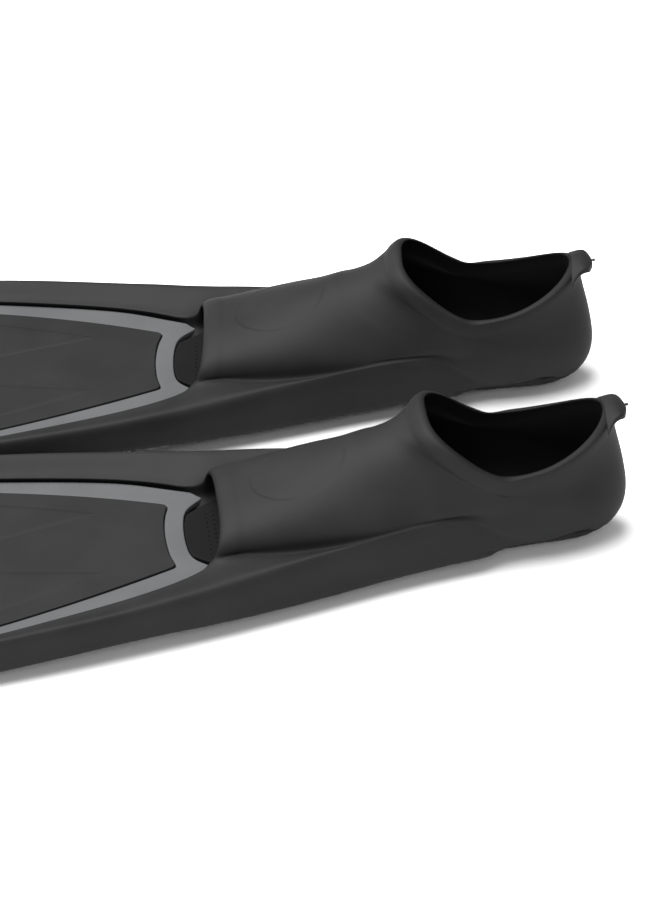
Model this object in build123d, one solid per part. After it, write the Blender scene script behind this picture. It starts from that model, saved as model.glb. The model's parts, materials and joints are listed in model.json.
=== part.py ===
"""A pair of full-foot swim fins lying side by side, in millimetres.

Each fin is designed in its own frame: s runs forward from the back of the heel to the blade's tip, y runs
across with 0 on the fin's centre line, and z runs up from the floor. A fin is the same on both sides of its
centre line, so one set of pieces serves the left and the right fin. The pair's frame has +Z up and the heels
towards +X, and its origin is under the middle of the pair's bounding box, on the floor.
"""
from build123d import *
import math
import os

# ---- the pair ----------------------------------------------------------------------------------------------
SPREAD_DEG = 2.9            # each fin is turned so that the blades stand apart
HEEL_OFFSET = 81.5          # from the pair's centre line to each heel

# ---- one fin: profiles along s, as (s, value) ---------------------------------------------------------------
FIN_LENGTH = 630.0
WALL_HALF = [(78, 34), (100, 38), (140, 46.5), (200, 60.5), (300, 83.5), (400, 98.5), (500, 104.5), (630, 106)]
DECK_HALF = [(60, 30), (200, 34), (250, 39.5), (300, 59.5), (350, 72.5), (400, 83.5), (500, 91.5), (630, 96)]
PANEL_HALF = [(272, 31), (300, 43.5), (350, 60.5), (400, 73), (500, 82), (630, 87)]
CREST_Z = [(78, 36), (100, 41.5), (140, 43.5), (200, 40), (300, 35), (400, 32.5), (500, 25), (600, 12), (630, 8)]
RAIL_LOW_Z = [(78, 7), (100, 9), (200, 13), (300, 13), (400, 9.7), (500, 4.5), (580, 0.8), (630, 0)]
DECK_Z = [(60, 16), (200, 24), (250, 26.3), (300, 25.7), (350, 24.2), (400, 22.2), (500, 16), (600, 6.5), (630, 4.5)]

# ---- foot pocket ----------------------------------------------------------------------------------------------
POCKET_HALF = [(0.5, 9), (3, 16), (8, 23), (20, 29), (45, 34.5), (80, 37), (120, 40), (160, 44), (200, 45), (250, 41.5)]
POCKET_LOW = [(0.5, 22), (3, 13), (8, 7), (20, 3.5), (45, 3), (85, 3), (120, 9), (160, 13), (250, 16)]
POCKET_TOP = [(0.5, 34), (3, 56), (8, 76), (12, 92), (20, 102), (45, 108), (110, 106), (124, 94), (142, 84), (165, 75.5),
              (190, 66.5), (213, 58.5), (250, 50)]
POCKET_CORNER = [(0.5, 5), (3, 14), (8, 22), (45, 32), (120, 36), (160, 30), (200, 19), (250, 10)]
POCKET_PLACES = [0.5, 3, 8, 20, 45, 80, 110, 124, 142, 165, 190, 220]
POCKET_END = 248.0          # the toe opening's edge
HEEL_SPACE_START = 5.5
WALL = 3.5                  # rubber thickness
FLOOR_WALL = 5.0            # rubber thickness under the foot
COLLAR = [(-10, 88), (6, 86.5), (14, 84.5), (32, 77), (50, 69), (68, 65.5), (80, 70), (95, 80.5), (108, 91), (118, 101),
          (122, 112)]

# ---- plates and small parts ------------------------------------------------------------------------------------
FOOTBED_THICK = 3.0
FOOTBED_END = 262.0
FOOTBED_TAPER = 8.0
CORE_START = 88.0
CORE_THICK = 4.0
SOLE_START = 12.0
SOLE_END = 86.0
SOLE_HALF = 15.0
SOLE_THICK = 3.0
SOLE_CORNER = 14.0
DECK_THICK = 4.0            # at the blade's root
TIP_THICK = 2.5
INSERT_TIP = 252.0          # the grey insert's pointed tips beside the toe opening
PANEL_CORNER = 4.0
TIP_BOW = 12.0              # how far the blade's end bows forward
TIP_CORNER = 26.0

# ---- the two places that bend -----------------------------------------------------------------------------------
FLEX_S = 274.0              # the blade bends up and down about this line
FLEX_Z = 24.0
FLEX_HALF_ANGLE = 13.0      # each side of the groove leans this much, for 25 degrees of travel
FLEX_GAP = 0.5              # and stands this far from the line
TAB_S = 6.6                 # the heel tab folds about this line
TAB_Z = 82.4
TAB_ROOT_R = 1.8
TAB_REACH = 6.8
TAB_HALF = 14.0
TAB_CORNER = 5.5
TAB_CLEAR = 0.4
PIN_R = 0.8
PIN_LENGTH = 4.0
PIN_Y = -4.0

REACH = 130.0               # wider than half a fin
STEP = 25.0                 # between the sections of a long loft


def along(profile, s):
    """The profile's value at s, on a smooth curve through its points."""
    last = len(profile) - 1
    i = max(k for k in range(last) if profile[k][0] <= s or k == 0)
    s0, v0 = profile[i]
    s1, v1 = profile[i + 1]
    before = profile[max(i - 1, 0)]
    after = profile[min(i + 2, last)]
    slope0 = (v1 - before[1]) / (s1 - before[0])
    slope1 = (after[1] - v0) / (after[0] - s0)
    t = (s - s0) / (s1 - s0)
    span = s1 - s0
    return ((2 * t**3 - 3 * t**2 + 1) * v0 + (t**3 - 2 * t**2 + t) * span * slope0
            + (3 * t**2 - 2 * t**3) * v1 + (t**3 - t**2) * span * slope1)


def stations(start, end):
    """Evenly spaced places along the fin, about STEP apart, with both ends."""
    count = max(2, round((end - start) / STEP) + 1)
    return [start + (end - start) * i / (count - 1) for i in range(count)]


def face_of(points):
    return make_face(Polyline(*points, close=True))


def side_slab(top, low, start, end):
    """A slab right across the fin, between two heights that change along it."""
    places = stations(start, end)
    outline = [(s, 0, top(s)) for s in places] + [(s, 0, low(s)) for s in reversed(places)]
    return extrude(face_of(outline), amount=REACH, dir=(0, 1, 0), both=True)


def plan_block(half_width, start, end):
    """A tall block whose sides follow a half-width that changes along the fin."""
    places = stations(start, end)
    outline = [(s, half_width(s), 0) for s in places] + [(s, -half_width(s), 0) for s in reversed(places)]
    return extrude(face_of(outline), amount=REACH, dir=(0, 0, 1))


def deck_thickness(s):
    share = min(max((s - FLEX_S) / (FIN_LENGTH - FLEX_S), 0), 1)
    return DECK_THICK + (TIP_THICK - DECK_THICK) * share


def deck_slab(start, end):
    return side_slab(lambda s: along(DECK_Z, s), lambda s: along(DECK_Z, s) - deck_thickness(s), start, end)


def pocket_section(s, inset, floor):
    """The pocket's cross-section at s, a rounded rectangle drawn in by the wall's thickness."""
    half = along(POCKET_HALF, s) - inset
    low = along(POCKET_LOW, s) + floor
    top = along(POCKET_TOP, s) - inset
    corner = min(along(POCKET_CORNER, s) - inset, half - 0.5, (top - low) / 2 - 0.5)
    plane = Plane(origin=(s, 0, (low + top) / 2), x_dir=(0, 1, 0), z_dir=(1, 0, 0))
    return plane * RectangleRounded(2 * half, top - low, max(corner, 1.0))


def pocket_outer():
    sections = [pocket_section(s, 0, 0) for s in POCKET_PLACES + [POCKET_END]]
    return loft(sections, ruled=True)


def foot_space():
    """The hollow for the foot, which runs out through the toe opening to the end of the footbed."""
    back = [HEEL_SPACE_START, HEEL_SPACE_START + 4]
    places = back + POCKET_PLACES[3:] + [POCKET_END + 2]
    sections = [pocket_section(s, WALL, FLOOR_WALL) for s in places]
    front = Pos(FOOTBED_END - places[-1], 0, 0) * pocket_section(places[-1], WALL + FOOTBED_TAPER, FLOOR_WALL + 1)
    return loft(sections + [front], ruled=True)


def above_collar():
    """Everything above the ankle opening's rim line."""
    outline = [(s, 0, z) for s, z in COLLAR] + [(118, 0, 140), (-10, 0, 140)]
    return extrude(face_of(outline), amount=REACH, dir=(0, 1, 0), both=True)


def tab_notch():
    """Room behind the rim for the heel tab's root."""
    depth = TAB_S + TAB_ROOT_R + TAB_CLEAR
    low = TAB_Z - TAB_ROOT_R - TAB_CLEAR
    return Pos(depth / 2 - 10, 0, low + 20) * Box(depth + 20, 2 * (TAB_HALF + TAB_CLEAR), 40)


def foot_pocket():
    return pocket_outer() - foot_space() - above_collar() - tab_notch()


def footbed():
    top = lambda s: along(POCKET_LOW, s) + FLOOR_WALL + FOOTBED_THICK
    low = lambda s: along(POCKET_LOW, min(s, 249)) - 1
    return foot_space() & side_slab(top, low, 8, FOOTBED_END - 0.5)


def blade_core():
    """The stiff tongue of the blade that runs back under the foot."""
    top = lambda s: along(POCKET_LOW, s)
    slab = side_slab(top, lambda s: top(s) - CORE_THICK, CORE_START, POCKET_END)
    toe = side_slab(lambda s: 21.0, lambda s: along(POCKET_LOW, 248) - CORE_THICK, POCKET_END, FLEX_S)
    back = slab & plan_block(lambda s: 30.0, CORE_START, POCKET_END)
    front = toe & plan_block(lambda s: along(DECK_HALF, s) - 0.5, POCKET_END, FLEX_S)
    return (back + front) - foot_space()


def sole_tread():
    """The flat pad under the heel, which the fin stands on."""
    length = SOLE_END - SOLE_START
    shape = Pos(SOLE_START + length / 2, 0, 0) * RectangleRounded(length, 2 * SOLE_HALF, SOLE_CORNER)
    return extrude(shape, amount=SOLE_THICK, dir=(0, 0, 1)) - pocket_outer()


def rail_section(s, side):
    """A side rail's cross-section: an upright outer wall, a soft crest and a slope down to the deck."""
    wall = along(WALL_HALF, s)
    crest = along(CREST_Z, s)
    low = max(along(RAIL_LOW_Z, s), 0.0)
    inner = min(along(DECK_HALF, s), wall - 6)
    deck = min(along(DECK_Z, s), crest - 2)
    under = max(deck - deck_thickness(s), low + 0.5)
    land = min(6.0, (wall - inner) / 3)
    outline = [(inner, under), (inner, deck), (wall - land, crest), (wall, crest - 2), (wall, low + 1),
               (wall - land, low)]
    return face_of([(s, side * y, z) for y, z in outline])


def side_rail(side):
    places = stations(78, FIN_LENGTH)
    return loft([rail_section(s, side) for s in places], ruled=True) & tip_trim()


def tip_trim():
    """The blade's bowed end with its round corners, as a block that holds everything behind it."""
    half = WALL_HALF[-1][1] + 1
    corner_s = FIN_LENGTH - TIP_BOW
    sides = Polyline((corner_s, -half), (0, -half), (0, half), (corner_s, half))
    end = ThreePointArc((corner_s, half), (FIN_LENGTH, 0), (corner_s, -half))
    outline = make_face([sides, end])
    corners = outline.vertices().sort_by(Axis.X)[-2:]
    return extrude(fillet(corners, TIP_CORNER), amount=REACH, dir=(0, 0, 1))


def blade_panel():
    outline = plan_block(lambda s: along(PANEL_HALF, s), FLEX_S, FIN_LENGTH)
    corners = outline.edges().filter_by(Axis.Z).sort_by(Axis.X)[:2]
    return fillet(corners, PANEL_CORNER) & deck_slab(FLEX_S, FIN_LENGTH) & tip_trim()


def insert_ring():
    """The grey insert's whole outline: between the rails, the panel and the footbed."""
    ring = plan_block(lambda s: along(DECK_HALF, s), INSERT_TIP, FIN_LENGTH) & deck_slab(INSERT_TIP, FIN_LENGTH)
    return (ring & tip_trim()) - foot_space()


def half_space(side):
    """Everything on one side of the fin's centre line."""
    return Pos(FIN_LENGTH / 2, side * REACH / 2, REACH / 2) * Box(2 * FIN_LENGTH, REACH, 2 * REACH)


def flex_groove(front):
    """One side of the groove across the fin where the blade bends: in front of the line, or behind it."""
    lean = math.tan(math.radians(FLEX_HALF_ANGLE))
    sign = 1 if front else -1
    far = FLEX_S + sign * 2 * FIN_LENGTH
    rise = 100.0
    edge = FLEX_S + sign * FLEX_GAP
    outline = [(edge, 0, FLEX_Z), (edge + sign * lean * rise, 0, FLEX_Z + rise), (far, 0, FLEX_Z + rise),
               (far, 0, FLEX_Z - rise), (edge + sign * lean * rise, 0, FLEX_Z - rise)]
    return extrude(face_of(outline), amount=REACH, dir=(0, 1, 0), both=True)


def heel_tab():
    """The pull tab behind the heel: a round root on its bending line and a rounded tongue."""
    root = Pos(TAB_S, 0, TAB_Z) * Rot(90, 0, 0) * Cylinder(TAB_ROOT_R, 2 * TAB_HALF)
    tongue = Pos(TAB_S - TAB_REACH / 2, 0, TAB_Z) * Box(TAB_REACH, 2 * TAB_HALF, 2 * TAB_ROOT_R)
    tongue = fillet(tongue.edges().filter_by(Axis.Z).sort_by(Axis.X)[:2], TAB_CORNER)
    return root + tongue


def tag_pin():
    """The stub of the tag fastener, standing on the tab's tip."""
    tip = TAB_S - TAB_REACH
    return Pos(tip - PIN_LENGTH / 2, PIN_Y, TAB_Z) * Rot(0, 90, 0) * Cylinder(PIN_R, PIN_LENGTH)


def middle_pieces():
    """The pieces on a fin's centre line, by name, in the fin's own frame."""
    pocket = foot_pocket()
    insert = (insert_ring() & flex_groove(False)) - pocket_outer()
    return {
        "foot_pocket": pocket,
        "footbed": footbed(),
        "sole_tread": sole_tread(),
        "blade_core": (blade_core() & flex_groove(False)) - insert - pocket,
        "toe_insert": insert,
        "blade_panel": blade_panel() & flex_groove(True),
        "heel_tab": heel_tab(),
        "tag_pin": tag_pin(),
    }


def side_pieces(side, middle):
    """The rail and the grey channel on one side of a fin, cut clear of the pieces in its middle."""
    whole = side_rail(side) - pocket_outer() - foot_space()
    root = (whole & flex_groove(False)) - middle["blade_core"] - middle["toe_insert"]
    rail = whole & flex_groove(True)
    window = plan_block(lambda s: along(PANEL_HALF, s), FLEX_S, FIN_LENGTH)
    channel = ((insert_ring() - window) & flex_groove(True) & half_space(side)) - rail
    return {"rail_root": root, "rail": rail, "channel": channel}


def main():
    os.makedirs("parts", exist_ok=True)
    middle = middle_pieces()
    sides = {side: side_pieces(side, middle) for side in (1, -1)}
    placed = {}
    for fin, fin_side in (("left", -1), ("right", 1)):
        place = Pos(0, fin_side * HEEL_OFFSET, 0) * Rot(0, 0, 180 - fin_side * SPREAD_DEG)
        for name, solid in middle.items():
            placed[f"{fin}_{name}"] = place * solid
        for word, side in (("inner", fin_side), ("outer", -fin_side)):
            for name, solid in sides[side].items():
                placed[f"{fin}_{word}_{name}"] = place * solid
    boxes = [solid.bounding_box() for solid in placed.values()]
    centre_x = (min(b.min.X for b in boxes) + max(b.max.X for b in boxes)) / 2
    print("heel line at x =", round(-centre_x, 3), "height", round(max(b.max.Z for b in boxes), 2))
    for node, solid in placed.items():
        export_step(Pos(-centre_x, 0, 0) * solid, f"parts/{node}.step")


main()
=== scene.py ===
# %% [markdown]
# # A pair of full-foot swim fins
# A full-foot fin is one soft rubber moulding, the foot pocket with its two side rails, shot around a thin
# stiff blade. A grey rubber insert frames the blade panel. Every piece below is modelled once, in the
# fin's own millimetres: s runs forward from the back of the heel, y runs across and z runs up from the
# floor. It is then laid down twice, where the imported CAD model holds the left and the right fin.

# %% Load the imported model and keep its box
import json
import math
from collections import namedtuple
import bmesh
import bpy
from mathutils import Matrix, Vector


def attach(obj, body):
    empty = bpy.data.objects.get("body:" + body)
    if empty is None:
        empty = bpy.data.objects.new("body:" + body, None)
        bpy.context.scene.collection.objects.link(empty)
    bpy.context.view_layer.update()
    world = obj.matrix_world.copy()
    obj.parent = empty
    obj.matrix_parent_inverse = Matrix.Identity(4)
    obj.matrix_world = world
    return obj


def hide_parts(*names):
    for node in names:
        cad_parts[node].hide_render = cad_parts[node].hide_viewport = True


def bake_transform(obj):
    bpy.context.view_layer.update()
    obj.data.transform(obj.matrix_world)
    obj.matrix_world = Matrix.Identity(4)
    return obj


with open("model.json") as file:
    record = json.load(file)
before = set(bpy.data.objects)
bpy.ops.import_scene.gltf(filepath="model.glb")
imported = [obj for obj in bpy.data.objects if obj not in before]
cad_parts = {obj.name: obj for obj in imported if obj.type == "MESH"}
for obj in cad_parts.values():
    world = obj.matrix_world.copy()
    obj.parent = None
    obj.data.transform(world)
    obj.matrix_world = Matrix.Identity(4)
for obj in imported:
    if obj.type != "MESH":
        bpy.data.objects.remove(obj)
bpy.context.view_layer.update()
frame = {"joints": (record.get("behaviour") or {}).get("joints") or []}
FINS = ("left", "right")

# %% [markdown]
# ## Where each fin stands
# Both fins have one shape, so one matrix a fin places everything on it. The blade's bending line is a
# joint of the CAD model, and its place and direction fix that matrix: the line lies FLEX_S in front of
# the heel and FLEX_Z above the floor. Moving and turning objects would work too, but here a finished
# piece keeps its place in its mesh.

# %% From the fin's millimetres to the frame's metres
MM = 0.001
FLEX_S = 274.0
FLEX_Z = 24.0


def fin_frame(fin):
    """The matrix that takes a point (s, y, z) of a fin, in millimetres, to its place in the frame."""
    joint = next(j for j in frame["joints"] if j["name"] == fin + "_blade_flex")
    across = -Vector(joint["axis"]).normalized()
    forward = across.cross(Vector((0, 0, 1)))
    turn = Matrix((forward, across, (0, 0, 1))).transposed().to_4x4()
    place = Matrix.Translation(Vector(joint["pos_m"]))
    return place @ turn @ Matrix.Scale(MM, 4) @ Matrix.Translation((-FLEX_S, 0, -FLEX_Z))


place_of = {fin: fin_frame(fin) for fin in FINS}
for fin in FINS:
    heel = place_of[fin] @ Vector((0, 0, 0))
    print(f"{fin} heel at x {heel.x:.3f} y {heel.y:.3f}")

# %% [markdown]
# ## Curves along the fin
# A moulding's shape is mostly a few curves along its length: how wide the wall stands, how high the
# rail's crest is, how the deck droops. Curve objects could hold them, but a short list of (s, value)
# points is easier to read and to change. `along` runs a smooth line through such a list. All pieces share
# these lists, so they always meet.

# %% A smooth line through a few points, and a soft step
def along(profile, s):
    """The profile's value at s, on a smooth curve through its points."""
    s = min(max(s, profile[0][0]), profile[-1][0])
    last = len(profile) - 1
    i = max(k for k in range(last) if profile[k][0] <= s)
    (s0, v0), (s1, v1) = profile[i], profile[i + 1]
    before, after = profile[max(i - 1, 0)], profile[min(i + 2, last)]
    t, span = (s - s0) / (s1 - s0), s1 - s0
    rise0 = span * (v1 - before[1]) / (s1 - before[0])
    rise1 = span * (after[1] - v0) / (after[0] - s0)
    return ((2 * t**3 - 3 * t**2 + 1) * v0 + (t**3 - 2 * t**2 + t) * rise0
            + (3 * t**2 - 2 * t**3) * v1 + (t**3 - t**2) * rise1)


def ease(t):
    """0 before t = 0, 1 after t = 1, and a soft S between them."""
    t = min(max(t, 0.0), 1.0)
    return t * t * (3 - 2 * t)


print("a soft step at its quarters:", [round(ease(k / 4), 3) for k in range(5)])

# %% [markdown]
# ## The bowed end of the blade
# The tip is a shallow bow with round corners. A boolean cut would leave thin odd faces along it. Instead,
# the last rows of every mesh that reaches the tip are drawn back to one line, so the faces stay
# four-sided.

# %% The tip line
FIN_LENGTH = 630.0
TIP_HALF = 106.5
TIP_BOW = 12.0
TIP_CORNER = 26.0
TIP_STARTS = 540.0


def tip_line(y):
    """How far forward the blade's bowed end reaches at y, with its round corners."""
    into_corner = min(max(abs(y) - (TIP_HALF - TIP_CORNER), 0), TIP_CORNER)
    corner = TIP_CORNER - math.sqrt(TIP_CORNER**2 - into_corner**2)
    return FIN_LENGTH - TIP_BOW * (y / TIP_HALF) ** 2 - corner


def to_tip(s, y):
    """Draws a station near the end back to the bowed tip line."""
    near_end = min(max((s - TIP_STARTS) / (FIN_LENGTH - TIP_STARTS), 0), 1)
    return s - (FIN_LENGTH - tip_line(y)) * near_end**2


print(f"the blade ends at {tip_line(0):.0f} mm in the middle, {tip_line(TIP_HALF):.0f} mm at its corners")

# %% [markdown]
# ## The foot pocket as a bent tube
# A foot pocket is a tube with two ends, the ankle collar and the toe opening, so it is drawn as a chain
# of rings. Each ring is a squared-off circle that leans between a low point on the heel or sole and a
# high point on the instep, like the hoops of a bent hose. Sculpting could give the same skin, but rings
# keep both sides alike and every height a number. The sides of the first rings sag, which gives the
# collar its dip at the ankle.

# %% The rings, from the collar to the toe opening
AROUND = 44
WALL = 3.5
FLOOR_WALL = 5.5
Ring = namedtuple("Ring", "low_s low_z high_s high_z half low_square high_square widest sag lift",
                  defaults=(0.5, 0.0, 0.0))
RINGS = [Ring(*row) for row in (
    (7.6, 86.2, 118.6, 95.2, 36.6, 2.1, 3.3, 0.60, 25.4, 0.5),
    (6.2, 83.8, 120.4, 94.6, 37.0, 2.1, 3.3, 0.60, 25.4, 0.8),
    (5.4, 77.0, 124.8, 91.0, 37.2, 2.0, 3.2, 0.60, 25.4, 0.8),
    (5.2, 75.0, 126.6, 89.4, 37.1, 2.0, 3.1, 0.60, 25.2),
    (3.6, 67.0, 130.0, 87.6, 37.0, 1.9, 2.7, 0.58, 22.6),
    (0.8, 55.0, 133.0, 86.4, 37.0, 1.8, 2.4, 0.56, 17.5),
    (-1.4, 41.0, 137.5, 84.1, 37.2, 1.9, 2.2, 0.54, 11.0),
    (-2.4, 28.0, 142.0, 82.1, 37.5, 2.0, 2.2, 0.52, 5.5),
    (0.4, 15.6, 146.5, 80.6, 38.0, 2.0, 2.2, 0.51, 2.0),
    (8.0, 6.6, 151.0, 79.4, 38.4, 2.0, 2.2),
    (20.0, 1.6, 155.0, 78.4, 38.8, 2.0, 2.2),
    (34.0, 0.7, 159.0, 77.9, 39.2, 2.0, 2.2),
    (46.0, 0.7, 162.5, 76.6, 39.6, 2.0, 2.2),
    (56.0, 1.0, 166.0, 75.4, 40.0, 2.1, 2.2),
    (65.0, 1.7, 169.0, 74.2, 40.5, 2.2, 2.2),
    (74.0, 2.7, 172.0, 73.1, 41.0, 2.3, 2.2),
    (84.0, 4.2, 175.0, 72.0, 41.7, 2.5, 2.2),
    (98.0, 6.3, 179.0, 70.5, 42.6, 2.7, 2.2),
    (120.0, 9.0, 185.5, 68.2, 43.8, 3.2, 2.25),
    (146.0, 11.0, 193.0, 65.6, 44.2, 3.6, 2.3),
    (172.0, 12.4, 202.0, 62.5, 44.0, 4.0, 2.4),
    (196.0, 13.6, 212.0, 59.2, 43.0, 4.4, 2.55),
    (218.0, 14.6, 222.0, 56.2, 41.8, 4.8, 2.75),
    (233.0, 15.2, 230.0, 54.0, 41.0, 5.0, 2.9),
    (236.0, 15.4, 231.4, 53.3, 40.9, 5.0, 2.9, 0.50, 0.0, 0.8),
    (246.5, 15.9, 237.2, 51.8, 40.4, 5.0, 2.9, 0.50, 0.0, 0.9),
    (253.4, 16.4, 241.0, 50.6, 39.8, 5.0, 2.9, 0.50, 0.0, 0.3),
)]
print("rings in the pocket's skin:", len(RINGS))

# %% A vertex of a ring
LOW_SAG_POWER, HIGH_SAG_POWER = 2, 4.6
COLLAR_SAG = 10
LIFT_LOST_AT_SIDES = 0.8


def ring_point(ring, i, inset):
    """Vertex i of a ring, drawn in from the outer skin by inset."""
    turn = 2 * math.pi * i / AROUND
    across, upward = math.sin(turn), -math.cos(turn)
    square = ring.low_square if upward < 0 else ring.high_square
    out = (abs(across) ** square + abs(upward) ** square) ** (-1 / square)
    low, high = Vector((ring.low_s, 0, ring.low_z)), Vector((ring.high_s, 0, ring.high_z))
    line = (high - low).normalized()
    thinned = LIFT_LOST_AT_SIDES * abs(across) ** 6 if ring.sag > COLLAR_SAG else 0
    grow = (ring.lift * (1 - thinned) if upward > -0.5 else 0) - inset
    low_grow = grow if inset == 0 else -inset * FLOOR_WALL / WALL
    low, high = low - line * low_grow, high + line * grow
    reach = ring.widest if upward < 0 else 1 - ring.widest
    point = low.lerp(high, ring.widest + reach * upward * out)
    point.z -= ring.sag * abs(across) ** (LOW_SAG_POWER if upward < 0 else HIGH_SAG_POWER)
    point.y = (ring.half + grow) * across * out
    return point


collar_front = ring_point(RINGS[0], AROUND // 2, 0)
print(f"the collar's front stands {collar_front.z:.1f} mm high, {collar_front.x:.0f} mm from the heel")

# %% [markdown]
# ## The side rails grow out of the pocket
# The rails are part of the same rubber. Around the middle of the foot some vertices of each ring leave
# the pocket's skin and swing out to the rail: under it, up its outer wall, over the soft crest and down
# the hollow slope to the valley beside the pocket. A separate rail pushed into the pocket would show a
# hard line where they cross.

# %% The rail's curves
WALL_HALF = [(60, 34), (78, 36.6), (100, 39.4), (140, 46.2), (200, 61.5), (250, 73.6), (300, 83.6),
             (350, 92.3), (400, 98.7), (500, 104.5), (630, 106)]
CREST_Z = [(60, 24), (76, 29), (88, 36.5), (102, 40.6), (128, 41.6), (144, 41.6), (169, 40.8), (189, 40.6),
           (210, 39.6), (237, 37.2), (270, 35.8), (300, 34.2), (400, 31.6), (500, 24.4), (600, 12),
           (630, 8)]
LOW_Z = [(60, 8), (80, 11), (100, 12.2), (140, 11), (200, 10.4), (250, 11.6), (300, 13), (400, 9.7),
         (500, 4.5), (580, 0.9), (630, 0.3)]
DECK_HALF = [(200, 31), (253, 42.3), (270, 50.8), (300, 61.6), (350, 73.8), (400, 83.5), (500, 91.5),
             (630, 96)]
DECK_Z = [(200, 25.8), (250, 25.2), (300, 24.4), (350, 22.9), (400, 21.0), (500, 15.3), (600, 6.3),
          (630, 4.4)]
VALLEY_HALF = [(80, 34.6), (100, 35.6), (120, 38.2), (143, 42.8), (168, 44.2), (204, 42.6), (235, 39.8),
               (253, 42.6)]
VALLEY_Z = [(80, 41), (100, 43.4), (120, 43.5), (143, 41.5), (168, 37.4), (204, 34.2), (222, 34.8),
            (236, 35.6), (245, 33.6), (253, 28.4)]
POCKET_ENDS = 253
STEP_IN, STEP_UP = 0.3, 3.0
print(f"the rail is {along(CREST_Z, 300) - along(LOW_Z, 300):.1f} mm tall at the toes")


def valley(s):
    """The foot of the rail's slope: beside the pocket, then on the step above the edge of the deck."""
    if s < POCKET_ENDS:
        return along(VALLEY_HALF, s), along(VALLEY_Z, s)
    return along(DECK_HALF, s) - STEP_IN, along(DECK_Z, s) + STEP_UP


# %% [markdown]
# ## The rail's section
# Nine vertices draw the section. A rail lower than FULL_HEIGHT, near the tip, has the same section with
# its corners scaled down. The offsets reach past the real corners, because rounding pulls a corner in.

# %% The rail's section
RAIL_FIRST, RAIL_LAST = 3, 11
FULL_HEIGHT = 18.0
HOLLOW, HOLLOW_STARTS, HOLLOW_GROWS = 0.9, 100, 90
DRAWN_IN, DRAWN_IN_TO, DRAWN_IN_FADES = 1.6, 240, 80
UNDERSIDE, UNDERSIDE_LIMIT = 0.62, 22.0


def rail_section(s, j):
    """Half-width and height of the rail's vertex j at s, from its underside to the foot of its slope."""
    wall, crest, low = along(WALL_HALF, s), along(CREST_Z, s), along(LOW_Z, s)
    foot_half, foot_z = valley(s)
    slope, drop = wall - foot_half, crest - foot_z
    tall = min(1, (crest - low) / FULL_HEIGHT)
    hollow = HOLLOW * ease((s - HOLLOW_STARTS) / HOLLOW_GROWS) * tall
    drawn_in = DRAWN_IN * (1 - ease((s - DRAWN_IN_TO) / DRAWN_IN_FADES)) * tall
    under = (wall - UNDERSIDE * min(wall - along(DECK_HALF, s), UNDERSIDE_LIMIT), low + 0.1)
    under_edge = (wall - 6.5 * tall, low - 0.1)
    bottom_corner = (wall + 1.0 * tall, low - 1.4 * tall)
    wall_foot, wall_top = (wall + 0.3, low + 6 * tall), (wall + 0.6, crest - 8.5 * tall)
    top_corner = (wall - 0.2 * tall - drawn_in, crest + 1.0 * tall)
    high_slope = (wall - 0.36 * slope, crest - 0.24 * drop)
    low_slope = (wall - 0.74 * slope, crest - 0.80 * drop - hollow)
    section = (under, under_edge, bottom_corner, wall_foot, wall_top, top_corner, high_slope, low_slope,
               (foot_half, foot_z))
    return section[j - RAIL_FIRST]


toes = [rail_section(300, j) for j in range(RAIL_FIRST, RAIL_LAST + 1)]
print("the section at the toes:", [(round(half), round(height)) for half, height in toes])

# %% [markdown]
# ## From the skin to the rail
# A ring's vertex goes from the pocket to the rail by a share that grows from none to all over a short
# stretch. That makes the rail rise out of the heel's side with no seam.

# %% Swinging a ring's vertices out to the rail
RAIL_STARTS, RAIL_FULL = 70.0, 92.0


def side_of(i):
    """Vertex i's place from the bottom (0) to the top (22), and which side of the fin it is on."""
    return (i, 1) if i <= AROUND // 2 else (AROUND - i, -1)


def skin_point(ring, i):
    """Vertex i of an outer ring: on the pocket, or swung out to the rail."""
    point = ring_point(ring, i, 0)
    j, side = side_of(i)
    if RAIL_FIRST <= j <= RAIL_LAST:
        half, height = rail_section(point.x, j)
        swung = Vector((point.x, side * half, height))
        share = ease((point.x - RAIL_STARTS) / (RAIL_FULL - RAIL_STARTS))
        point = point.lerp(swung, share)
    return point


on_rail = skin_point(RINGS[-1], RAIL_LAST - 3)
print(f"beside the toe opening the rail stands {on_rail.y:.0f} mm out from the middle")

# %% [markdown]
# ## Extruding rings
# One `create_circle`, then `extrude_edge_only` again and again, makes a tube of clean four-sided faces.
# The operator returns the new vertices in no useful order. Each old vertex knows its new neighbour by the
# edge between them, and that keeps the two rings in step.

# %% One ring from the last
def ring_edges(bm, ring):
    """The edges of a closed ring of vertices."""
    return [bm.edges.get((v, ring[(k + 1) % len(ring)])) for k, v in enumerate(ring)]


def extruded_from(old, geometry):
    """The new vertex that each old one was extruded to, in the same order."""
    fresh = {g for g in geometry if isinstance(g, bmesh.types.BMVert)}
    return [next(e.other_vert(v) for e in v.link_edges if e.other_vert(v) in fresh) for v in old]


def next_ring(bm, ring, points):
    """Extrudes a closed ring and puts the new vertices at points. Returns them in the same order."""
    made = bmesh.ops.extrude_edge_only(bm, edges=ring_edges(bm, ring))
    new = extruded_from(ring, made["geom"])
    for v, point in zip(new, points):
        v.co = point
    return new


print("each ring has", AROUND, "vertices")

# %% [markdown]
# ## From a mesh to a piece on both fins
# A piece remembers its own millimetres in a point attribute, so a material can find a place on it, and
# then its mesh is taken to the frame. Subdivision Surface rounds it in the view and in the render alike.

# %% Make a pair of pieces
ROUNDING = 2


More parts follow.
